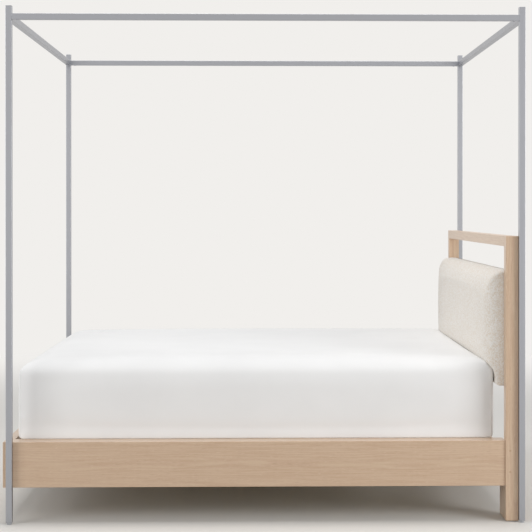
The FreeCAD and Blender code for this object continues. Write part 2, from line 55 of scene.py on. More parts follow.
def linearColour(code):
    parts = [int(code[i:i + 2], 16) / 255 for i in (1, 3, 5)]
    return [v / 12.92 if v <= 0.04045 else ((v + 0.055) / 1.055) ** 2.4 for v in parts] + [1.0]


def addNode(tree, kind, inputs=None, stops=(), **settings):
    # an input takes a value, a socket, or a node, which stands for its first live output
    node = tree.nodes.new(kind)
    for name, value in settings.items():
        setattr(node, name, value)
    for socket, value in (inputs or {}).items():
        if isinstance(value, bpy.types.Node):
            value = next(output for output in value.outputs if output.enabled)
        if isinstance(value, bpy.types.NodeSocket):
            tree.links.new(value, node.inputs[socket])
        else:
            node.inputs[socket].default_value = value
    # a ramp's stops are (place, colour code) from the left
    for number, (place, code) in enumerate(stops):
        elements = node.color_ramp.elements
        element = elements[number] if number < len(elements) else elements.new(place)
        element.position, element.color = place, linearColour(code)
    return node


def startMaterial(name):
    # patterns are laid out on the place of each point in the piece's own space
    material = bpy.data.materials.new(name)
    material.use_nodes = True
    tree = material.node_tree
    tree.nodes.clear()
    return material, tree, addNode(tree, "ShaderNodeTexCoord").outputs["Object"]


def dress(material, *names):
    for name in names:
        mesh = nodes[name].data
        mesh.materials.clear()
        mesh.materials.append(material)


# Woods. Coordinates are turned so that the grain runs along the pattern's first axis.

grainTurns = {"x": (0, 0, 0), "y": (0, 0, -math.pi / 2), "z": (0, math.pi / 2, 0)}

oak = {
    "latewood": "#d1b79b",
    "earlywood": "#cdb095",
    "pore": "#b4947a",
    "fleck": "#dac3aa",
    "streak": "#c1a083",
    # marks to the metre along and across the grain, detail, grit, the noise at which a mark
    # starts and is full, and its strength; the pores are 30 mm by 1 mm
    "marks": {
        "streak": (7.0, 130.0, 4.0, 0.6, 0.42, 0.70, 0.6),
        "fleck": (40.0, 260.0, 1.0, 0.5, 0.60, 0.72, 0.4),
        "pore": (1 / 0.030, 1000.0, 2.0, 0.5, 0.56, 0.66, 1.0),
    },
    "ringWidth": 0.0036,
    "wander": 0.030,
    "roughness": 0.55,
    "lacquer": 0.8,
}

poplar = dict(oak, latewood="#ead9b8", earlywood="#dfcaa2", pore="#cdb58a", fleck="#f0e2c6",
              streak="#dcc59b", ringWidth=0.006, roughness=0.7, wander=0.05, lacquer=0.0)

beech = dict(oak, latewood="#dcb98e", earlywood="#cfa87b", pore="#b98d60", fleck="#e8cba4",
             streak="#c89f72", ringWidth=0.005, roughness=0.55, wander=0.05)


def woodMaterial(name, wood, grain, pith, seed):
    # pith is a point on the line that the growth rings run round, in metres
    material, tree, place = startMaterial(name)
    fromPith = addNode(tree, "ShaderNodeVectorMath", {0: place, 1: pith}, operation="SUBTRACT")
    along = addNode(tree, "ShaderNodeMapping", {"Vector": fromPith, "Rotation": grainTurns[grain]})
    # the trunk wanders and swells slowly, which draws the arches on a flat-sawn face
    slow = addNode(tree, "ShaderNodeMapping", {"Vector": along, "Location": (seed, seed, 0),
                                               "Scale": (1.1, 6.0, 6.0)})
    wander = addNode(tree, "ShaderNodeTexNoise", {"Vector": slow, "Scale": 1.0, "Detail": 3.0,
                                                  "Roughness": 0.45}).outputs["Color"]
    wander = addNode(tree, "ShaderNodeVectorMath", {0: wander, 1: (0.5, 0.5, 0.5)},
                     operation="SUBTRACT")
    bent = addNode(tree, "ShaderNodeVectorMath", {
        0: wander, 1: (0.0, wood["wander"], wood["wander"]), 2: along}, operation="MULTIPLY_ADD")
    across = addNode(tree, "ShaderNodeVectorMath", {0: bent, 1: (0.0, 1.0, 1.0)},
                     operation="MULTIPLY")
    radius = addNode(tree, "ShaderNodeVectorMath", {0: across}, operation="LENGTH")
    rings = addNode(tree, "ShaderNodeMath", {0: radius, 1: wood["ringWidth"]}, operation="DIVIDE")
    ring = addNode(tree, "ShaderNodeMath", {0: rings}, operation="FRACT")
    # a ring starts with its porous early wood and ends sharply at the next
    body = addNode(tree, "ShaderNodeValToRGB", {0: ring}, stops=[
        (0.0, wood["earlywood"]), (0.3, wood["earlywood"]), (0.6, wood["latewood"]),
        (0.88, wood["latewood"]), (1.0, wood["earlywood"])])
    early = addNode(tree, "ShaderNodeMapRange", {0: ring, 1: 0.5, 2: 0.0, 3: 0.25, 4: 0.85})
    # streaks from the way the boards were sawn and finished, pale flecks, then the open pores
    shifts = {"streak": (seed, 0, seed), "fleck": (0, seed, seed), "pore": (0, 0, 0)}
    noises = {}
    for kind, shift in shifts.items():
        lengthwise, crosswise, detail, grit, start, full, strength = wood["marks"][kind]
        drawn = addNode(tree, "ShaderNodeMapping", {"Vector": along, "Location": shift, "Scale": (
            lengthwise, crosswise, crosswise)})
        noises[kind] = addNode(tree, "ShaderNodeTexNoise", {
            "Vector": drawn, "Scale": 1.0, "Detail": detail, "Roughness": grit})
        mark = addNode(tree, "ShaderNodeMapRange", {
            0: noises[kind], 1: start, 2: full, 3: 0.0, 4: strength})
        if kind == "pore":
            mark = addNode(tree, "ShaderNodeMath", {0: mark, 1: early}, operation="MULTIPLY")
        body = addNode(tree, "ShaderNodeMix", {0: mark, 6: body, 7: linearColour(wood[kind])},
                       data_type="RGBA")
    rough = addNode(tree, "ShaderNodeMapRange", {
        0: mark, 1: 0.0, 2: 1.0, 3: wood["roughness"], 4: wood["roughness"] + 0.15})
    relief = addNode(tree, "ShaderNodeMath", {0: noises["streak"], 1: 0.25}, operation="MULTIPLY")
    relief = addNode(tree, "ShaderNodeMath", {0: mark, 1: -1.0, 2: relief},
                     operation="MULTIPLY_ADD")
    bump = addNode(tree, "ShaderNodeBump", {"Height": relief, "Strength": 0.35,
                                            "Distance": 0.0004})
    shader = addNode(tree, "ShaderNodeBsdfPrincipled", {
        "Base Color": body, "Roughness": rough, "Normal": bump, "IOR": 1.5,
        "Specular IOR Level": 0.5, "Coat Weight": wood["lacquer"], "Coat Roughness": 0.28})
    addNode(tree, "ShaderNodeOutputMaterial", {"Surface": shader})
    return material


def middleOf(*names):
    corners = [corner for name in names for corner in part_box(name)]
    return [(min(c[i] for c in corners) + max(c[i] for c in corners)) / 2 for i in range(3)]


def pithBehind(name, away, across):
    # a line this far behind the middle of the named board
    middle = middleOf(name)
    return [m + a * across for m, a in zip(middle, away)]


boards = [
    ("rail_face_right", "x", (0, 1, 0.05), 0.085), ("rail_face_left", "x", (0, -1, -0.1), 0.10),
    ("rail_cap_right", "x", (0, 0.1, -1), 0.09), ("rail_cap_left", "x", (0, -0.2, -1), 0.11),
    ("footboard", "y", (1, 0, 0.1), 0.09),
    ("headboard_post_right", "z", (0.3, 1, 0), 0.08),
    ("headboard_post_left", "z", (0.2, -1, 0), 0.09),
    ("headboard_top_rail", "y", (1, 0, -0.4), 0.08),
    ("headboard_lower_rail", "y", (1, 0, 0.1), 0.09),
    ("leg_blocks", "z", (1, 0, 0), 0.11),
]
for number, (name, grain, away, across) in enumerate(boards):
    dress(woodMaterial("bleached white oak, " + name.replace("_", " "), oak, grain,
                       pithBehind(name, away, across), 3.7 * number), name)

for side, way in (("right", 1), ("left", -1)):
    inner = "rail_inner_" + side
    dress(woodMaterial("planed poplar, inner board " + side, poplar, "x",
                       pithBehind(inner, (0, -way, 0.1), 0.09), 5.1 * way), inner)
dress(woodMaterial("planed poplar, lengthwise parts", poplar, "x", (0, 0, 0.5), 9.3),
      "slat_cleats", "rail_foot_blocks", "rail_head_blocks", "centre_beam")
dress(woodMaterial("planed poplar, upright cleats", poplar, "z", (1.2, 0, 0), 2.2), "panel_cleats")
slats = sorted(name for name in nodes if name.startswith("slat_") and name != "slat_cleats")
dress(woodMaterial("planed poplar, slats", poplar, "y", (0.35, 0, 0.22), 7.7), *slats)
dress(woodMaterial("turned beech, legs", beech, "z", (0, 0.06, 0), 1.3), "centre_legs")
dress(woodMaterial("turned beech, dowels", beech, "y", (1.04, 0, 0.2), 4.4), "dowels")
print("wood finished")


# Metals

satinNickel = {"colour": "#a8aab0", "roughness": 0.36, "lineWidth": 0.0009, "lineLength": 0.12}


def brushedMaterial(name, metal, grain):
    # nickel plate over brushed tube: soft reflections drawn out along the tube
    material, tree, place = startMaterial(name)
    along = addNode(tree, "ShaderNodeMapping", {"Vector": place, "Rotation": grainTurns[grain]})
    drawn = addNode(tree, "ShaderNodeMapping", {"Vector": along, "Scale": (
        1 / metal["lineLength"], 1 / metal["lineWidth"], 1 / metal["lineWidth"])})
    lines = addNode(tree, "ShaderNodeTexNoise", {"Vector": drawn, "Scale": 1.0, "Detail": 3.0})
    cloud = addNode(tree, "ShaderNodeTexNoise", {"Vector": place, "Scale": 9.0, "Detail": 2.0})
    rough = addNode(tree, "ShaderNodeMath", {0: lines, 1: 0.12, 2: metal["roughness"] - 0.09},
                    operation="MULTIPLY_ADD")
    rough = addNode(tree, "ShaderNodeMath", {0: cloud, 1: 0.06, 2: rough},
                    operation="MULTIPLY_ADD")
    bump = addNode(tree, "ShaderNodeBump", {"Height": lines, "Strength": 0.12,
                                            "Distance": 0.0001})
    shader = addNode(tree, "ShaderNodeBsdfPrincipled", {
        "Base Color": linearColour(metal["colour"]), "Metallic": 1.0, "Roughness": rough,
        "Normal": bump})
    addNode(tree, "ShaderNodeOutputMaterial", {"Surface": shader})
    return material


dress(brushedMaterial("satin nickel plate, upright tubes", satinNickel, "z"),
      "canopy_post_foot_left", "canopy_post_foot_right", "canopy_post_head_left",
      "canopy_post_head_right", "post_caps", "head_post_tabs")
dress(brushedMaterial("satin nickel plate, lengthwise tubes", satinNickel, "x"),
      "canopy_rail_left", "canopy_rail_right", "canopy_spigots", "canopy_screws")
dress(brushedMaterial("satin nickel plate, crosswise tubes", satinNickel, "y"),
      "canopy_rail_foot", "canopy_rail_head")

# bright zinc plating on pressed steel, cooler and glossier than the tubes
zincPlate = {"colour": "#b4b8bc", "roughness": 0.34, "lineWidth": 0.004, "lineLength": 0.008}
dress(brushedMaterial("zinc-plated steel", zincPlate, "z"), "beam_hangers", "corner_brackets",
      "foot_post_bolts", "headboard_bolts", "leg_studs", "leveller_foot", "leveller_head",
      "nut_plates", "wood_screws")
brass = dict(zincPlate, colour="#c7a15c", roughness=0.3)
dress(brushedMaterial("turned brass", brass, "x"), "threaded_inserts")


def nylonMaterial(name, colour):
    # injection-moulded nylon: an even, waxy surface with a fine spark texture
    material, tree, place = startMaterial(name)
    grit = addNode(tree, "ShaderNodeTexNoise", {"Vector": place, "Scale": 1200.0, "Detail": 1.0})
    bump = addNode(tree, "ShaderNodeBump", {"Height": grit, "Strength": 0.2, "Distance": 0.0001})
    shader = addNode(tree, "ShaderNodeBsdfPrincipled", {
        "Base Color": linearColour(colour), "Roughness": 0.45, "Normal": bump, "IOR": 1.53})
    addNode(tree, "ShaderNodeOutputMaterial", {"Surface": shader})
    return material


dress(nylonMaterial("moulded nylon, grey", "#b9bbbf"), "post_glides", "leg_glides")


def plywoodMaterial(name):
    # seven birch veneers: their edges show as bands through the board's thickness
    low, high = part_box("panel_board")
    material, tree, place = startMaterial(name)
    across = addNode(tree, "ShaderNodeSeparateXYZ", {0: place})
    layer = addNode(tree, "ShaderNodeMapRange", {0: across, 1: low.x, 2: high.x, 3: 0.0, 4: 7.0})
    layer = addNode(tree, "ShaderNodeMath", {0: layer}, operation="FLOOR")
    odd = addNode(tree, "ShaderNodeMath", {0: layer, 1: 2.0}, operation="MODULO")
    odd = addNode(tree, "ShaderNodeMath", {0: odd, 1: 0.5}, operation="MULTIPLY")
    veneer = addNode(tree, "ShaderNodeMapping", {"Vector": place, "Scale": (30.0, 4.0, 90.0)})
    figure = addNode(tree, "ShaderNodeTexNoise", {"Vector": veneer, "Scale": 1.0, "Detail": 4.0})
    tone = addNode(tree, "ShaderNodeValToRGB", {0: figure}, stops=[(0.3, "#d9bf94"),
                                                                   (0.7, "#e8d4ae")])
    tone = addNode(tree, "ShaderNodeMix", {0: odd, 6: tone, 7: linearColour("#b8946a")},
                   data_type="RGBA")
    shader = addNode(tree, "ShaderNodeBsdfPrincipled", {"Base Color": tone, "Roughness": 0.7,
                                                        "IOR": 1.5})
    addNode(tree, "ShaderNodeOutputMaterial", {"Surface": shader})
    return material


dress(plywoodMaterial("birch plywood"), "panel_board")
print("metal and small parts finished")


# Soft goods


def pieceFromMesh(name, mesh):
    piece = bpy.data.objects.new(name, mesh)
    scene.collection.objects.link(piece)
    return piece


def pointsOf(mesh):
    points = np.empty(len(mesh.vertices) * 3)
    mesh.vertices.foreach_get("co", points)
    return points.reshape(-1, 3)


def setPoints(mesh, points):
    mesh.vertices.foreach_set("co", points.astype(np.float32).ravel())
    mesh.update()


def applyModifiers(piece):
    graph = bpy.context.evaluated_depsgraph_get()
    made = bpy.data.meshes.new_from_object(piece.evaluated_get(graph))
    piece.modifiers.clear()
    piece.data = made
    made.name = piece.name


def shadeSmooth(mesh):
    mesh.polygons.foreach_set("use_smooth", [True] * len(mesh.polygons))


def fillWithAir(piece, held, air):
    # cloth under light pressure, pinned where it is held, and no point moves past the cap
    start = pointsOf(piece.data)
    pinned = piece.vertex_groups.new(name="held")
    pinned.add([int(i) for i in np.nonzero(held(start))[0]], 1.0, "REPLACE")
    cloth = piece.modifiers.new("air", "CLOTH").settings
    cloth.use_pressure = True
    cloth.uniform_pressure_force = air["pressure"]
    cloth.vertex_group_mass = "held"
    cloth.effector_weights.gravity = 0.0
    cloth.quality = 5
    cloth.mass = air["mass"]
    cloth.tension_stiffness = cloth.compression_stiffness = air["stiffness"]
    cloth.bending_stiffness = air["bending"]
    for step in range(1, air["steps"] + 1):
        scene.frame_set(step)
    applyModifiers(piece)
    scene.frame_set(1)
    moved = pointsOf(piece.data) - start
    reach = np.linalg.norm(moved, axis=1, keepdims=True)
    print(piece.name, "swelled by", round(float(reach.max()) * 1000, 1), "mm before its cap")
    moved *= np.minimum(1.0, air["cap"] / np.maximum(reach, 1e-9))
    setPoints(piece.data, start + moved)
    piece.vertex_groups.clear()


def subdivide(piece):
    smooth = piece.modifiers.new("fine", "SUBSURF")
    smooth.levels = smooth.render_levels = 1
    applyModifiers(piece)


def roundOff(inwards, upwards):
    # turns the square corner of a profile, from 0 to 1 on both axes, into a quarter circle
    size = np.maximum(inwards, upwards)
    length = np.maximum(np.hypot(inwards, upwards), 1e-9)
    return inwards * size / length, upwards * size / length


def softBlock(name, half, shape):
    # a block of even faces round the origin, whose crown is its upper side
    counts = [max(4, round(2 * h / shape["cell"])) for h in half]
    mesh = bpy.data.meshes.new(name)
    grid = bmesh.new()
    bmesh.ops.create_cube(grid, size=2.0)
    for axis, count in enumerate(counts):
        edges = [e for e in grid.edges if abs((e.verts[0].co - e.verts[1].co)[axis]) > 1.9]
        bmesh.ops.subdivide_edges(grid, edges=edges, cuts=count - 1, use_grid_fill=True)
    bmesh.ops.recalc_face_normals(grid, faces=grid.faces)
    grid.to_mesh(mesh)
    grid.free()
    # faces are narrower at the edges, where the cover turns
    p = pointsOf(mesh)
    x, y, z = ((p + shape["grading"] * np.sin(np.pi * p) / np.pi) * half).T
    # the reach at the sides changes over the last quarter of a metre before the high end
    low, high, side, sideAtHigh = shape["crownReach"]
    turning = np.clip((x - half[0]) / 0.25 + 1, 0, 1)
    reachX = np.where(z > 0, np.where(x > 0, high, low), shape["backRadius"])
    reachY = np.where(z > 0, side + (sideAtHigh - side) * turning, shape["backRadius"])
    drop = np.where(z > 0, shape["crownDrop"], shape["backRadius"])
    # rings in from the edge: 0 on the outline and 1 where the top turns flat
    ring = np.minimum((half[0] - abs(x)) / reachX, (half[1] - abs(y)) / reachY)
    outwards, upwards = roundOff(np.clip(1 - ring, 0, 1),
                                 np.clip(1 - (half[2] - abs(z)) / drop, 0, 1))
    inset = np.where(ring < 1, 1 - outwards, ring)
    z = np.where(upwards > 0, np.sign(z) * (half[2] - drop * (1 - upwards)), z)
    x = x * (half[0] - inset * reachX) / np.maximum(half[0] - ring * reachX, 1e-6)
    y = y * (half[1] - inset * reachY) / np.maximum(half[1] - ring * reachY, 1e-6)
    corner = shape["cornerRadius"]
    spanX, spanY = half[0] - inset * reachX - corner, half[1] - inset * reachY - corner
    inCorner = (abs(x) > spanX) & (abs(y) > spanY)
    across, along = roundOff(np.clip((abs(x) - spanX) / corner, 0, None),
                             np.clip((abs(y) - spanY) / corner, 0, None))
    x = np.where(inCorner, np.sign(x) * (spanX + across * corner), x)
    y = np.where(inCorner, np.sign(y) * (spanY + along * corner), y)
    setPoints(mesh, np.column_stack([x, y, z]))
    return mesh


# Mattress

mattress = {
    "cell": 0.020,
    "grading": 0.5,
    # the top starts to fall this far in from the foot end, the head end, the sides, and the
    # sides where they come to the pad, and has turned upright this far down
    "crownReach": (0.115, 0.095, 0.115, 0.050),
    "crownDrop": 0.060,
    "backRadius": 0.008,
    "cornerRadius": 0.014,
    "cornerDroop": 0.006,
    "shrink": 0.004,
    "bulge": (0.004, 0.010, 0.003),     # the most at its foot, at its sides and on its top
    "clear": 0.0005,
    "held": 0.020,                      # the rails hold it still up to this height
    "roll": (0.010, 0.035),             # its lower edge over the rails: how far, and how high up
    "air": {"pressure": 0.05, "mass": 0.3, "stiffness": 15.0, "bending": 0.5, "steps": 20,
            "cap": 0.008},
}


def buildMattress():
    low, high = (np.array(corner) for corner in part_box("mattress"))
    middle, half = (low + high) / 2, (high - low) / 2 - mattress["shrink"]
    mesh = softBlock("mattress", half, mattress)
    x, y, z = pointsOf(mesh).T
    droop = (x < 0) * (x / half[0]) ** 4 * (y / half[1]) ** 2 * (z / half[2] + 1) / 2
    z = z - mattress["cornerDroop"] * droop
    setPoints(mesh, np.column_stack([x, y, z]) + middle)
    piece = pieceFromMesh("mattress_cover", mesh)
    base = low[2] + mattress["held"]
    fillWithAir(piece, lambda points: points[:, 2] < base, mattress["air"])
    subdivide(piece)
    # it bulges out over the rails, but not below their tops, and not into the pad
    points = pointsOf(piece.data)
    clear = mattress["clear"]
    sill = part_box("rail_cap_right")[1].z + clear
    band = 0.002
    free = np.clip((points[:, 2] - sill) / band, 0.0, 1.0)
    groundAndHollowShade, height = mattress["roll"]
    onSide = ((free > 0) & (abs(points[:, 1]) > half[1] - band)
              & (points[:, 2] < sill + 3 * height))
    # the lowest row of faces is drawn down until it rests on them
    above = points[:, 2] - sill
    lowest = above[onSide].min()
    drawnDown = (above - lowest) * height / (height - lowest)
    above = np.where(onSide & (above < height), drawnDown, above)
    points[:, 2] = sill + above
    roll = high[1] + groundAndHollowShade * np.exp(-(above / height) ** 2)
    rolled = np.sign(points[:, 1]) * np.maximum(abs(points[:, 1]), roll)
    points[:, 1] = np.where(onSide, rolled, points[:, 1])
    foot, side, top = mattress["bulge"]
    points[:, 0] = np.clip(points[:, 0], low[0] - foot * free, high[0] - clear)
    points[:, 1] = np.clip(points[:, 1], low[1] - side * free, high[1] + side * free)
    points[:, 2] = np.clip(points[:, 2], low[2] + clear, high[2] + top)
    setPoints(piece.data, points)
    shadeSmooth(piece.data)
    return piece


def knitMaterial(name):
    # fine knitted cotton cover pulled smooth: matt, soft at its edges, next to no texture
    material, tree, place = startMaterial(name)
    # loops 2.5 mm apart, coarser than the real 1 mm so that they show close up
    loops = addNode(tree, "ShaderNodeTexVoronoi", {"Vector": place, "Scale": 400.0})
    cloud = addNode(tree, "ShaderNodeTexNoise", {"Vector": place, "Scale": 3.5, "Detail": 3.0})
    tone = addNode(tree, "ShaderNodeValToRGB", {0: cloud}, stops=[(0.3, "#efefef"),
                                                                  (0.7, "#f3f3f3")])
    bump = addNode(tree, "ShaderNodeBump", {"Height": loops, "Strength": 0.25,
                                            "Distance": 0.0004})
    shader = addNode(tree, "ShaderNodeBsdfPrincipled", {
        "Base Color": tone, "Roughness": 0.9, "Normal": bump, "Specular IOR Level": 0.2,
        "Sheen Weight": 0.15, "Sheen Roughness": 0.5})
    addNode(tree, "ShaderNodeOutputMaterial", {"Surface": shader})
    return material


cover = buildMattress()
cover.data.materials.append(knitMaterial("knitted cotton cover, white"))
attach(cover, "mattress")
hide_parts("mattress")
print("mattress made:", len(cover.data.polygons), "faces")


# Upholstered panel of the headboard: one cloth over the foam and its board

pad = {
    "cell": 0.007,
    "grading": 0.0,
    "crownReach": (0.055, 0.055, 0.085, 0.085),
    "crownDrop": 0.055,
    "backRadius": 0.004,
    "cornerRadius": 0.016,
    "shrink": 0.003,
    "wallGap": 0.0008,
    "postGap": 0.004,
    "swell": (0.002, 0.004, 0.0006),    # how far in front, at its ends, and between the posts
    "pressed": (0.006, 0.25),           # loops this near the mattress keep this share of height
    "backFade": 0.010,
    "nubPitch": 0.0065,
    "nubHeight": 0.0014,
    "air": {"pressure": 0.5, "mass": 0.3, "stiffness": 10.0, "bending": 0.3, "steps": 20,
            "cap": 0.007},
}


def buildNubTree(name):
    # pushes a cloth surface out into loops of yarn; the loops' height is kept for the material
    tree = bpy.data.node_groups.new(name, "GeometryNodeTree")
    face = tree.interface
    face.new_socket("Geometry", in_out="INPUT", socket_type="NodeSocketGeometry")
    for label in ("nubPitch", "nubHeight"):
        face.new_socket(label, in_out="INPUT", socket_type="NodeSocketFloat")
    face.new_socket("seed", in_out="INPUT", socket_type="NodeSocketInt")
    face.new_socket("cloth", in_out="INPUT", socket_type="NodeSocketMaterial")
    face.new_socket("Geometry", in_out="OUTPUT", socket_type="NodeSocketGeometry")
    given = addNode(tree, "NodeGroupInput").outputs
    place = addNode(tree, "GeometryNodeInputPosition")
    offset = addNode(tree, "ShaderNodeCombineXYZ", {0: given["seed"]})
    # a slow wobble keeps the loops from standing in rows
    wobble = addNode(tree, "ShaderNodeTexNoise", {"Vector": place, "Scale": 60.0,
                                                  "Detail": 1.0}).outputs["Color"]
    wobble = addNode(tree, "ShaderNodeVectorMath", {0: wobble, 1: (0.01, 0.01, 0.01), 2: place},
                     operation="MULTIPLY_ADD")
    moved = addNode(tree, "ShaderNodeVectorMath", {0: wobble, 1: offset}, operation="ADD")
    scale = addNode(tree, "ShaderNodeMath", {0: 1.0, 1: given["nubPitch"]}, operation="DIVIDE")
    cells = addNode(tree, "ShaderNodeTexVoronoi", {"Vector": moved, "Scale": scale,
                                                   "Smoothness": 0.35}, feature="SMOOTH_F1")
    nub = addNode(tree, "ShaderNodeMapRange", {0: cells, 1: 0.65, 2: 0.05, 3: 0.0, 4: 1.0},
                  interpolation_type="SMOOTHSTEP")
    tuft = addNode(tree, "ShaderNodeTexNoise", {"Vector": moved, "Scale": 45.0, "Detail": 2.0})
    tuft = addNode(tree, "ShaderNodeMath", {0: tuft, 1: 1.2, 2: 0.3}, operation="MULTIPLY_ADD")
    nub = addNode(tree, "ShaderNodeMath", {0: nub, 1: tuft}, operation="MULTIPLY")
    free = addNode(tree, "GeometryNodeInputNamedAttribute", {"Name": "free"}, data_type="FLOAT")
    height = addNode(tree, "ShaderNodeMath", {0: nub, 1: given["nubHeight"]},
                     operation="MULTIPLY")
    height = addNode(tree, "ShaderNodeMath", {0: height, 1: free}, operation="MULTIPLY")
    kept = addNode(tree, "GeometryNodeStoreNamedAttribute", {
        "Geometry": given["Geometry"], "Name": "nub", "Value": nub}, data_type="FLOAT",
        domain="POINT")
    push = addNode(tree, "ShaderNodeVectorMath", {
        0: addNode(tree, "GeometryNodeInputNormal"), "Scale": height}, operation="SCALE")
    pushed = addNode(tree, "GeometryNodeSetPosition", {"Geometry": kept, "Offset": push})
    whole = addNode(tree, "GeometryNodeRealizeInstances", {0: pushed})
    dressed = addNode(tree, "GeometryNodeSetMaterial", {"Geometry": whole,
                                                        "Material": given["cloth"]})
    addNode(tree, "NodeGroupOutput", {0: dressed})
    return tree


def useTree(piece, tree, **inputs):
    # inputs are found by their name and set by their identifier
    modifier = piece.modifiers.new(tree.name, "NODES")
    modifier.node_group = tree
    for item in tree.interface.items_tree:
        if item.item_type == "SOCKET" and item.in_out == "INPUT" and item.name in inputs:
            modifier[item.identifier] = inputs[item.name]
    applyModifiers(piece)


def boucleMaterial(name):
    # looped wool and cotton yarn: pale crowns over a warmer ground between the loops, with painted
    # shade added in the hollows between them
    material, tree, place = startMaterial(name)
    nub = addNode(tree, "ShaderNodeAttribute", attribute_name="nub").outputs["Fac"]
    loops = addNode(tree, "ShaderNodeTexVoronoi", {"Vector": place, "Scale": 240.0})
    # painted shade: the lower the loop and the deeper the hollow between fine loops, the warmer
    # and darker the tone. This is partly the ground yarn's own colour and partly painted shade
    groundAndHollowShade = addNode(tree, "ShaderNodeMath", {0: nub, 1: 0.6, 2: 0.45}, operation="MULTIPLY_ADD")
    groundAndHollowShade = addNode(tree, "ShaderNodeMath", {0: loops, 1: -0.55, 2: groundAndHollowShade},
                    operation="MULTIPLY_ADD")
    tone = addNode(tree, "ShaderNodeValToRGB", {0: groundAndHollowShade}, stops=[
        (0.0, "#e0d3c2"), (0.35, "#eeeae4"), (0.8, "#f5f3f0")])
    cloud = addNode(tree, "ShaderNodeTexNoise", {"Vector": place, "Scale": 14.0, "Detail": 3.0})
    cloud = addNode(tree, "ShaderNodeMapRange", {0: cloud, 1: 0.35, 2: 0.7, 3: 0.0, 4: 0.18})
    tone = addNode(tree, "ShaderNodeMix", {0: cloud, 6: tone, 7: linearColour("#dfd8ce")},
                   data_type="RGBA")
    yarn = addNode(tree, "ShaderNodeTexNoise", {"Vector": place, "Scale": 900.0, "Detail": 2.0})
    rise = addNode(tree, "ShaderNodeMath", {0: yarn, 1: 0.5}, operation="MULTIPLY")
    rise = addNode(tree, "ShaderNodeMath", {0: loops, 1: -1.0, 2: rise},
                   operation="MULTIPLY_ADD")
    bump = addNode(tree, "ShaderNodeBump", {"Height": rise, "Strength": 0.5, "Distance": 0.0009})
    shader = addNode(tree, "ShaderNodeBsdfPrincipled", {
        "Base Color": tone, "Roughness": 0.95, "Normal": bump, "Specular IOR Level": 0.15,
        "Sheen Weight": 0.25, "Sheen Roughness": 0.6})
    addNode(tree, "ShaderNodeOutputMaterial", {"Surface": shader})
    return material


def headOf(cover):
    # the middle of the mattress's head end, as X at a given height, a little clear of it
    points = pointsOf(cover.data)
    high = points.max(axis=0)
    row = points[(abs(points[:, 1]) < 0.012) & (points[:, 0] > high[0] - 0.25)
                 & (points[:, 2] > high[2] - 0.15)]
    row = row[np.argsort(row[:, 2])]
    return lambda z: np.interp(z - pad["wallGap"], row[:, 2], row[:, 0]) + pad["wallGap"]


def keepInSpace(mesh, low, high, wall):
    # returns how far each point may stand off: 1 in the open, less at the mattress and the back
    points = pointsOf(mesh)
    front = wall(points[:, 2])
    near, share = pad["pressed"]
    free = np.clip((points[:, 0] - front) / near, share, 1.0)
    free *= np.clip((high[0] - points[:, 0]) / pad["backFade"], 0.0, 1.0)
    inFront, atEnds, betweenPosts = pad["swell"]
    points[:, 0] = np.clip(points[:, 0], np.maximum(front, low[0] - inFront), high[0])
    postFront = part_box("headboard_post_right")[0].x - pad["postGap"]
    reach = np.where(points[:, 0] > postFront, betweenPosts, atEnds)
    points[:, 1] = np.clip(points[:, 1], low[1] - reach, high[1] + reach)
    setPoints(mesh, points)
    return free


def buildPad():
    # the foam's full block, then pressed by the mattress wherever the two meet
    low, high = (np.array(corner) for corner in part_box("headboard_pad"))
    high[0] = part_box("panel_board")[1].x
    middle, half = (low + high) / 2, (high - low) / 2 - pad["shrink"]
    mesh = softBlock("headboard_pad", half[[1, 2, 0]], pad)
    a, b, c = pointsOf(mesh).T
    setPoints(mesh, np.column_stack([-c, -a, b]) + middle + (pad["shrink"], 0, 0))
    piece = pieceFromMesh("upholstered_panel", mesh)
    fillWithAir(piece, lambda points: points[:, 0] > high[0] - 0.02, pad["air"])
    subdivide(piece)
    wall = headOf(cover)
    free = keepInSpace(piece.data, low, high, wall).astype(np.float32)
    piece.data.attributes.new("free", "FLOAT", "POINT").data.foreach_set("value", free)
    useTree(piece, buildNubTree("boucleLoops"), nubPitch=pad["nubPitch"],
            nubHeight=pad["nubHeight"], seed=7, cloth=boucleMaterial("woven boucle, natural"))
    keepInSpace(piece.data, low, high, wall)
    shadeSmooth(piece.data)
    return piece


panel = buildPad()
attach(panel, "frame")
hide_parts("headboard_pad", "panel_board")
print("upholstered panel made:", len(panel.data.polygons), "faces")


# Lining on the back of the panel, stapled between the cleats

lining = {
    "cleatWidth": 0.022,
    "inset": (0.0024, 0.003),   # its edges, in from the cleats and from the panel's top and bottom
    "hem": 0.012,               # turned in along all four edges
    "cell": 0.011,
    "lift": 0.0010,
    "puff": 0.0007,
    "puffReach": 0.03,
    "staplePitch": 0.045,
    "stapleInset": 0.007,
}


def foldedRun(length):
    # places across the cloth from one turned-in edge to the other, and which are turned in
    hem, count = lining["hem"], round(length / lining["cell"])
    inside = np.linspace(0.0, length, count + 1)
    places = np.concatenate([[hem, hem / 2], inside, [length - hem / 2, length - hem]])
    turned = np.array([True, True] + [False] * (count + 1) + [True, True])
    return places, turned


def slackAt(along, fromEdge, length):
    # a little slack between the staples of an edge, less the further in
    wave = abs(np.sin(np.pi * along / lining["staplePitch"]))
    return wave * np.exp(-np.minimum(fromEdge, length - fromEdge) / lining["puffReach"])


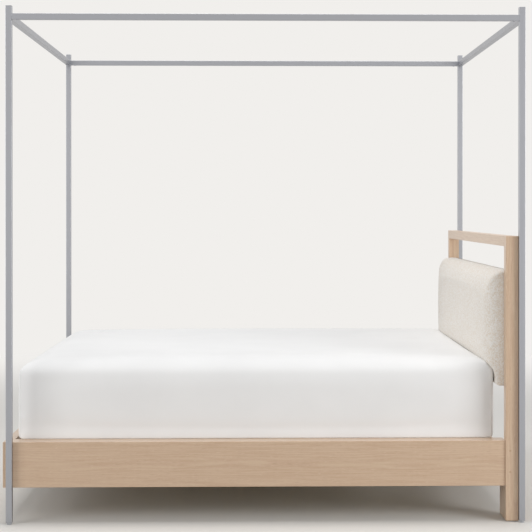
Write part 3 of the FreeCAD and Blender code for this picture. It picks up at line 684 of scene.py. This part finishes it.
def buildLining(width, height):
    # pulled tight over the board, its turned-in hems a little lower than the rest
    across, turnedAcross = foldedRun(width)
    up, turnedUp = foldedRun(height)
    a, b = np.meshgrid(across, up, indexing="ij")
    hidden = turnedAcross[:, None] | turnedUp[None, :]
    puff = lining["puff"] * np.clip(slackAt(a, b, height) + slackAt(b, a, width), 0, 1)
    x = panelBack.x + lining["lift"] + puff - hidden * lining["lift"] * 0.6
    points = np.column_stack([x.ravel(), (a - width / 2).ravel(), (b + linerLow).ravel()])
    rows, columns = a.shape
    corners = [i * columns + j for i in range(rows - 1) for j in range(columns - 1)]
    mesh = bpy.data.meshes.new("panel_lining")
    mesh.from_pydata(points.tolist(), [], [
        (c, c + columns, c + columns + 1, c + 1) for c in corners])
    shadeSmooth(mesh)
    return pieceFromMesh("panel_lining", mesh)


def calicoMaterial(name):
    # undyed plain-weave calico: two sets of threads 1.2 mm apart, with a few dark husks
    material, tree, place = startMaterial(name)
    threads = addNode(tree, "ShaderNodeVectorMath", {0: place, 1: (math.pi / 0.0012,) * 3},
                      operation="MULTIPLY")
    threads = addNode(tree, "ShaderNodeVectorMath", {0: threads}, operation="SINE")
    threads = addNode(tree, "ShaderNodeVectorMath", {0: threads}, operation="ABSOLUTE")
    threads = addNode(tree, "ShaderNodeSeparateXYZ", {0: threads}).outputs
    weave = addNode(tree, "ShaderNodeMath", {0: threads["Y"], 1: threads["Z"]},
                    operation="MULTIPLY")
    slub = addNode(tree, "ShaderNodeMapping", {"Vector": place, "Scale": (30.0, 60.0, 900.0)})
    slub = addNode(tree, "ShaderNodeTexNoise", {"Vector": slub, "Scale": 1.0, "Detail": 3.0})
    tone = addNode(tree, "ShaderNodeValToRGB", {0: slub}, stops=[(0.35, "#cfc6b4"),
                                                                 (0.65, "#e0d9cb")])
    husk = addNode(tree, "ShaderNodeTexNoise", {"Vector": place, "Scale": 260.0, "Detail": 0.0})
    husk = addNode(tree, "ShaderNodeMapRange", {0: husk, 1: 0.74, 2: 0.78, 3: 0.0, 4: 0.6})
    tone = addNode(tree, "ShaderNodeMix", {0: husk, 6: tone, 7: linearColour("#8f7a5a")},
                   data_type="RGBA")
    bump = addNode(tree, "ShaderNodeBump", {"Height": weave, "Strength": 0.4,
                                            "Distance": 0.0003})
    shader = addNode(tree, "ShaderNodeBsdfPrincipled", {
        "Base Color": tone, "Roughness": 0.9, "Normal": bump, "Specular IOR Level": 0.2})
    addNode(tree, "ShaderNodeOutputMaterial", {"Surface": shader})
    return material


panelLow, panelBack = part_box("panel_board")
insetAcross, insetUp = lining["inset"]
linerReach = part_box("panel_cleats")[1].y - lining["cleatWidth"] - insetAcross
linerLow, linerHigh = panelLow.z + insetUp, panelBack.z - insetUp
liner = buildLining(2 * linerReach, linerHigh - linerLow)
liner.data.materials.append(calicoMaterial("calico lining, undyed"))
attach(liner, "frame")
print("lining made:", len(liner.data.polygons), "faces")


# Screws, staples and plugs. Each is one small shape, set at its places by the same rule.

screw = {"headDrop": 0.0026, "core": 0.47, "tip": 0.19, "recessArm": 0.49, "armWidth": 0.22,
         "recessDepth": 0.0013, "recessFloor": 0.55, "sides": 24}
staple = {"crown": 0.010, "leg": 0.0012, "wire": (0.0011, 0.0006), "bend": 0.0004}
# fromFront is from the post's front, and levels are from the side rail's middle
plug = {"radius": 0.005, "height": 0.0003, "fromFront": 0.01895, "levels": (-0.036, 0.053)}


def lathe(name, rings):
    # rings of points up the shape's axis, each a list of (x, y, z), closed at both ends
    count = len(rings[0])
    points = [point for ring in rings for point in ring]
    faces = []
    for start in range(0, len(points) - count, count):
        for i in range(count):
            j = (i + 1) % count
            faces.append((start + i, start + j, start + count + j, start + count + i))
    faces += [tuple(range(count))[::-1], tuple(range(len(points) - count, len(points)))]
    mesh = bpy.data.meshes.new(name)
    mesh.from_pydata(points, [], faces)
    return mesh


def circle(radius, z, count):
    turns = [2 * math.pi * i / count for i in range(count)]
    return [(radius * math.cos(turn), radius * math.sin(turn), z) for turn in turns]


def screwShape(radius, length):
    # countersunk, with a cross recess whose arms narrow between the head's rim and its middle
    count = screw["sides"]
    arm = radius * screw["recessArm"]
    cross = []
    for i in range(count):
        angle = 2 * math.pi * i / count
        near = abs((angle + math.pi / 4) % (math.pi / 2) - math.pi / 4)
        reach = arm if near < 0.01 else min(arm, screw["armWidth"] * arm / math.sin(near))
        cross.append((reach * math.cos(angle), reach * math.sin(angle), 0.0))
    inner = screw["recessFloor"]
    pit = [(inner * x, inner * y, -screw["recessDepth"]) for x, y, z in cross]
    core, tip = radius * screw["core"], radius * screw["tip"]
    profile = [(tip * 0.4, -length), (tip, -length + 0.001), (core, -length + 0.006),
               (core, -screw["headDrop"]), (radius, -0.0002), (radius * 0.97, 0.0)]
    return lathe("screwShape", [circle(r, z, count) for r, z in profile] + [cross, pit])


def stapleShape():
    # flat wire bent twice, its legs driven in
    half, leg, bend = staple["crown"] / 2, staple["leg"], staple["bend"]
    wide, thick = staple["wire"][0] / 2, staple["wire"][1]
    line = [(-half, -leg), (-half, 0.0), (-half + bend, bend), (half - bend, bend), (half, 0.0),
            (half, -leg)]
    inwards = [(1, 0), (1, -0.3), (0.3, -1), (-0.3, -1), (-1, -0.3), (-1, 0)]
    rings = []
    for (x, z), (inX, inZ) in zip(line, inwards):
        innerX, innerZ = x + thick * inX, z + thick * inZ
        rings.append([(x, -wide, z), (x, wide, z), (innerX, wide, innerZ),
                      (innerX, -wide, innerZ)])
    return lathe("stapleShape", rings)


def plugShape():
    # a turned plug glued over a hidden screw and sanded almost flush
    radius, height = plug["radius"], plug["height"]
    profile = [(radius, -0.0005), (radius, height * 0.5), (radius * 0.9, height),
               (radius * 0.45, height * 1.15)]
    return lathe("plugShape", [circle(r, z, 24) for r, z in profile])


def buildFixingTree(name):
    # sets one shape at each point, its top facing along "way" and turned by "turn"
    tree = bpy.data.node_groups.new(name, "GeometryNodeTree")
    face = tree.interface
    for label, kind in (("Geometry", "Geometry"), ("shape", "Object"), ("looseTurn", "Float"),
                        ("seed", "Int"), ("finish", "Material")):
        face.new_socket(label, in_out="INPUT", socket_type="NodeSocket" + kind)
    face.new_socket("Geometry", in_out="OUTPUT", socket_type="NodeSocketGeometry")
    given = addNode(tree, "NodeGroupInput").outputs
    shape = addNode(tree, "GeometryNodeObjectInfo", {0: given["shape"]},
                    transform_space="ORIGINAL").outputs["Geometry"]
    way = addNode(tree, "GeometryNodeInputNamedAttribute", {"Name": "way"},
                  data_type="FLOAT_VECTOR")
    turn = addNode(tree, "GeometryNodeInputNamedAttribute", {"Name": "turn"}, data_type="FLOAT")
    chance = addNode(tree, "FunctionNodeRandomValue", {"Seed": given["seed"]}, data_type="FLOAT")
    angle = addNode(tree, "ShaderNodeMath", {0: chance, 1: given["looseTurn"], 2: turn},
                    operation="MULTIPLY_ADD")
    aligned = addNode(tree, "FunctionNodeAlignRotationToVector", {"Vector": way}, axis="Z")
    spin = addNode(tree, "FunctionNodeAxisAngleToRotation", {"Axis": (0.0, 0.0, 1.0),
                                                             "Angle": angle})
    turned = addNode(tree, "FunctionNodeRotateRotation", {0: aligned, 1: spin},
                     rotation_space="LOCAL")
    placed = addNode(tree, "GeometryNodeInstanceOnPoints", {
        "Points": given["Geometry"], "Instance": shape, "Rotation": turned})
    whole = addNode(tree, "GeometryNodeRealizeInstances", {0: placed})
    dressed = addNode(tree, "GeometryNodeSetMaterial", {"Geometry": whole,
                                                        "Material": given["finish"]})
    addNode(tree, "NodeGroupOutput", {0: dressed})
    return tree


fixingTree = buildFixingTree("fixings")


def setFixings(name, shapeMesh, places, looseTurn, finish):
    # places are (point, way, turn)
    mesh = bpy.data.meshes.new(name)
    mesh.from_pydata([tuple(point) for point, way, turn in places], [], [])
    ways = np.array([way for point, way, turn in places], dtype=np.float32)
    turns = np.array([turn for point, way, turn in places], dtype=np.float32)
    mesh.attributes.new("way", "FLOAT_VECTOR", "POINT").data.foreach_set("vector", ways.ravel())
    mesh.attributes.new("turn", "FLOAT", "POINT").data.foreach_set("value", turns)
    piece = pieceFromMesh(name, mesh)
    shape = pieceFromMesh(name + "_shape", shapeMesh)
    useTree(piece, fixingTree, shape=shape, looseTurn=looseTurn, seed=5, finish=finish)
    bpy.data.objects.remove(shape)
    return piece


def screwPlaces():
    # head, way out and size of each screw, from the separate bodies of the CAD node
    grid = bmesh.new()
    grid.from_mesh(nodes["wood_screws"].data)
    bmesh.ops.remove_doubles(grid, verts=grid.verts, dist=1e-6)
    seen, places, size = set(), [], None
    for first in grid.verts:
        if first in seen:
            continue
        island, front = [], [first]
        seen.add(first)
        while front:
            vert = front.pop()
            island.append(vert.co[:])
            for edge in vert.link_edges:
                other = edge.other_vert(vert)
                if other not in seen:
                    seen.add(other)
                    front.append(other)
        points = np.array(island)
        low, high = points.min(axis=0), points.max(axis=0)
        axis = int(np.argmax(high - low))
        middle = (low + high) / 2
        spread = np.linalg.norm(np.delete(points - middle, axis, axis=1), axis=1)
        # the head is the wider end
        upper = spread[points[:, axis] > high[axis] - 1e-4].max()
        lower = spread[points[:, axis] < low[axis] + 1e-4].max()
        way = np.zeros(3)
        way[axis] = 1.0 if upper > lower else -1.0
        middle[axis] = high[axis] if upper > lower else low[axis]
        places.append((middle, way, 0.0))
        size = (float(spread.max()), float((high - low)[axis]))
    grid.free()
    return places, size


def staplePlaces():
    # a row along each edge; the side rows leave out the corners
    inset, pitch = lining["stapleInset"], lining["staplePitch"]
    x = panelBack.x + lining["lift"] + 0.0001
    reach, low, high = linerReach - inset, linerLow + inset, linerHigh - inset
    across = np.linspace(-reach, reach, round(2 * reach / pitch) + 1)
    up = np.linspace(low, high, round((high - low) / pitch) + 1)[1:-1]
    places = [((x, y, z), (1, 0, 0), math.pi / 2) for z in (low, high) for y in across]
    places += [((x, y, z), (1, 0, 0), 0.0) for y in (-reach, reach) for z in up]
    return places


places, (screwRadius, screwLength) = screwPlaces()
screws = setFixings("wood_screw_set", screwShape(screwRadius, screwLength), places, 2 * math.pi,
                    brushedMaterial("zinc-plated steel, screws", zincPlate, "z"))
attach(screws, "frame")
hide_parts("wood_screws")
staples = setFixings("lining_staples", stapleShape(), staplePlaces(), 0.0,
                     brushedMaterial("zinc-plated steel, staples", zincPlate, "z"))
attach(staples, "frame")
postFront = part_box("headboard_post_right")[0]
railMiddle = middleOf("rail_face_right")[2]
plugPlaces = [((postFront.x + plug["fromFront"], way * abs(postFront.y), railMiddle + level),
               (0, way, 0), 0.0) for way in (-1, 1) for level in plug["levels"]]
plugTone = dict(oak, latewood="#c2a384", earlywood="#bb9b7d", fleck="#c9ae90")
plugs = setFixings("post_plugs", plugShape(), plugPlaces, 0.0, woodMaterial(
    "white oak, plugs across the grain", plugTone, "y", (1.06, 0, 0.25), 6.0))
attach(plugs, "frame")
print("fixings set:", len(places), "screws,", len(staplePlaces()), "staples,",
      len(plugPlaces), "plugs")


# Floor, light and camera

studio = {
    "floor": "#e9e7e3",
    "floorBounce": "#c4c1bd",
    "backdrop": "#f1efec",
    "ambient": 0.42,
    "lamps": [
        # name, direction to the lamp (azimuth from the front, elevation), distance, size, watts
        ("left", -50, 10, 6.0, 2.4, 72.0),
        ("right", 52, 10, 6.0, 2.4, 126.0),
        ("side", -82, 12, 6.0, 2.6, 34.0),
        ("top", 0, 89, 5.0, 3.5, 134.0),
    ],
}


def seenRay(tree):
    # 1 for what the camera sees, straight or in a reflection, and 0 for light that bounces
    rays = addNode(tree, "ShaderNodeLightPath").outputs
    mirrored = addNode(tree, "ShaderNodeMath", {
        0: rays["Is Glossy Ray"], 1: rays["Is Transmission Ray"]}, operation="MAXIMUM")
    return addNode(tree, "ShaderNodeMath", {0: rays["Is Camera Ray"], 1: mirrored},
                   operation="MAXIMUM")


def makeStudio():
    reach = 40.0
    mesh = bpy.data.meshes.new("floor")
    mesh.from_pydata([(-reach, -reach, 0), (reach, -reach, 0), (reach, reach, 0),
                      (-reach, reach, 0)], [], [(0, 1, 2, 3)])
    floor = pieceFromMesh("studio_floor", mesh)
    material, tree, place = startMaterial("painted studio floor, pale")
    seen = seenRay(tree)
    tone = addNode(tree, "ShaderNodeMix", {
        0: seen, 6: linearColour(studio["floorBounce"]), 7: linearColour(studio["floor"])},
        data_type="RGBA")
    paint = addNode(tree, "ShaderNodeBsdfPrincipled", {"Base Color": tone, "Roughness": 0.8,
                                                       "Specular IOR Level": 0.1})
    # away from the bed the floor runs into the pale backdrop
    far = addNode(tree, "ShaderNodeVectorMath", {0: place}, operation="LENGTH")
    far = addNode(tree, "ShaderNodeMapRange", {0: far, 1: 2.2, 2: 6.0, 3: 0.0, 4: 1.0},
                  interpolation_type="SMOOTHSTEP")
    far = addNode(tree, "ShaderNodeMath", {0: far, 1: seen}, operation="MULTIPLY")
    backdrop = addNode(tree, "ShaderNodeEmission", {"Color": linearColour(studio["backdrop"])})
    shader = addNode(tree, "ShaderNodeMixShader", {0: far, 1: paint, 2: backdrop})
    addNode(tree, "ShaderNodeOutputMaterial", {"Surface": shader})
    mesh.materials.append(material)
    world = bpy.data.worlds.new("studio")
    world.use_nodes = True
    tree = world.node_tree
    tree.nodes.clear()
    tone = addNode(tree, "ShaderNodeMix", {
        0: seenRay(tree), 6: [studio["ambient"]] * 3 + [1.0], 7: linearColour(studio["backdrop"])},
        data_type="RGBA")
    shader = addNode(tree, "ShaderNodeBackground", {"Color": tone, "Strength": 1.0})
    addNode(tree, "ShaderNodeOutputWorld", {"Surface": shader})
    scene.world = world
    target = Vector((0, 0, 0.7))
    for name, azimuth, elevation, distance, size, power in studio["lamps"]:
        a, e = math.radians(azimuth), math.radians(elevation)
        way = Vector((math.sin(a) * math.cos(e), -math.cos(a) * math.cos(e), math.sin(e)))
        light = bpy.data.lights.new("lamp_" + name, "AREA")
        light.shape = "SQUARE"
        light.size = size
        light.energy = power
        lamp = bpy.data.objects.new("lamp_" + name, light)
        lamp.location = target + way * distance
        lamp.rotation_euler = (-way).to_track_quat("-Z", "Y").to_euler()
        scene.collection.objects.link(lamp)


view = {
    "place": (-0.0178, -6.3817, 1.3023),
    "turn": (89.789, 0.0, -1.119),
    "lens": 89.47,
    "shift": (-0.0375, -0.0930),
}


def makeCamera():
    camera = bpy.data.objects.new("camera", bpy.data.cameras.new("camera"))
    camera.location = view["place"]
    camera.rotation_euler = [math.radians(v) for v in view["turn"]]
    camera.data.lens = view["lens"]
    camera.data.shift_x, camera.data.shift_y = view["shift"]
    scene.collection.objects.link(camera)
    scene.camera = camera


makeStudio()
makeCamera()
print("studio and camera ready")
